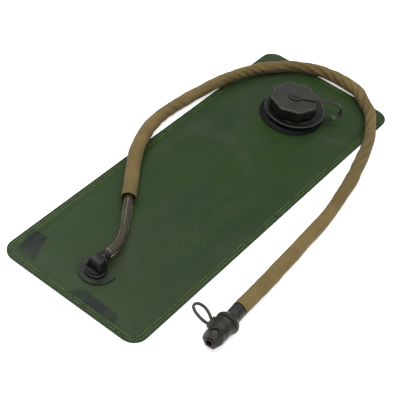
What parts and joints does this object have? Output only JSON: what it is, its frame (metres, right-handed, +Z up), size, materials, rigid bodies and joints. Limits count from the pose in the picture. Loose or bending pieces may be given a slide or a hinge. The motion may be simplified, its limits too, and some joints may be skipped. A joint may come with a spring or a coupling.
{
  "type": "hydration bladder",
  "caption": "Flat welded film water reservoir with a tethered screw-cap filler, an outlet elbow, a drinking hose in a fabric sleeve and a bite valve with a shut-off collar.",
  "frame": {"origin": "on the resting surface, under the middle of the reservoir's flat back", "axes": "+Y along the reservoir towards the filler, +X across it to the right, +Z up from the resting surface through the cap"},
  "size_m": [0.2493, 0.4695, 0.0335],
  "materials": {
    "film": "semi-gloss welded polyurethane film, dark green",
    "navy_flange": "soft satin, near-black navy",
    "cap_plastic": "fine-grained, dark warm grey",
    "tether": "soft matt, dark grey-green",
    "elbow_black": "glossy black",
    "silicone": "translucent silicone",
    "clear_hose": "clear smoky tube, brown inside",
    "sleeve_fabric": "woven nylon, tan",
    "valve_plastic": "satin, dark grey-green",
    "seal_black": "black rubber",
    "spring_steel": "bright wire",
    "loop_cord": "braided elastic cord, black"
  },
  "bodies": {
    "reservoir": {"back_panel": "film", "front_panel": "film", "filler_flange": "navy_flange", "filler_neck": "cap_plastic", "tether_ring": "tether", "tether_band": "tether", "outlet_flange": "film", "outlet_socket": "elbow_black", "outlet_elbow": "elbow_black", "elbow_seal": "seal_black", "nozzle_ring": "elbow_black", "drinking_hose": "clear_hose", "hose_sleeve": "sleeve_fabric", "hose_adapter": "valve_plastic", "spigot_seal": "seal_black", "valve_body": "valve_plastic", "mouth_lip": "silicone", "button_spring": "spring_steel", "pull_loop": "loop_cord"},
    "tether_end": {"tether_eye": "tether"},
    "cap": {"filler_cap": "cap_plastic", "cap_gasket": "silicone", "cap_button": "cap_plastic"},
    "lock": {"lock_collar": "valve_plastic", "shutoff_sleeve": "silicone"},
    "bite": {"bite_button": "valve_plastic"}
  },
  "joints": [
    {"name": "cap_lift", "type": "slide", "parent": "reservoir", "child": "tether_end", "axis": [0, 0, 1], "range_m": [0, 0.0076], "deforming": ["tether_band"]},
    {"name": "cap_turn", "type": "hinge", "parent": "tether_end", "child": "cap", "pos_m": [0.0015, 0.1435, 0.03], "axis": [0, 0, 1], "range_deg": [0, 540]},
    {"name": "lock_turn", "type": "hinge", "parent": "reservoir", "child": "lock", "pos_m": [0.13216, -0.15246, 0.0124], "axis": [0.061, -0.9981, 0], "range_deg": [0, 90]},
    {"name": "bite_press", "type": "slide", "parent": "reservoir", "child": "bite", "axis": [0, 0, -1], "range_m": [0, 0.0012], "stiffness_N_per_m": 1500, "springref_m": -0.0006, "deforming": ["button_spring"]}
  ],
  "couplings": [
    {"joint": "cap_lift", "follows": "cap_turn", "m_per_rad": 0.00079577}
  ]
}
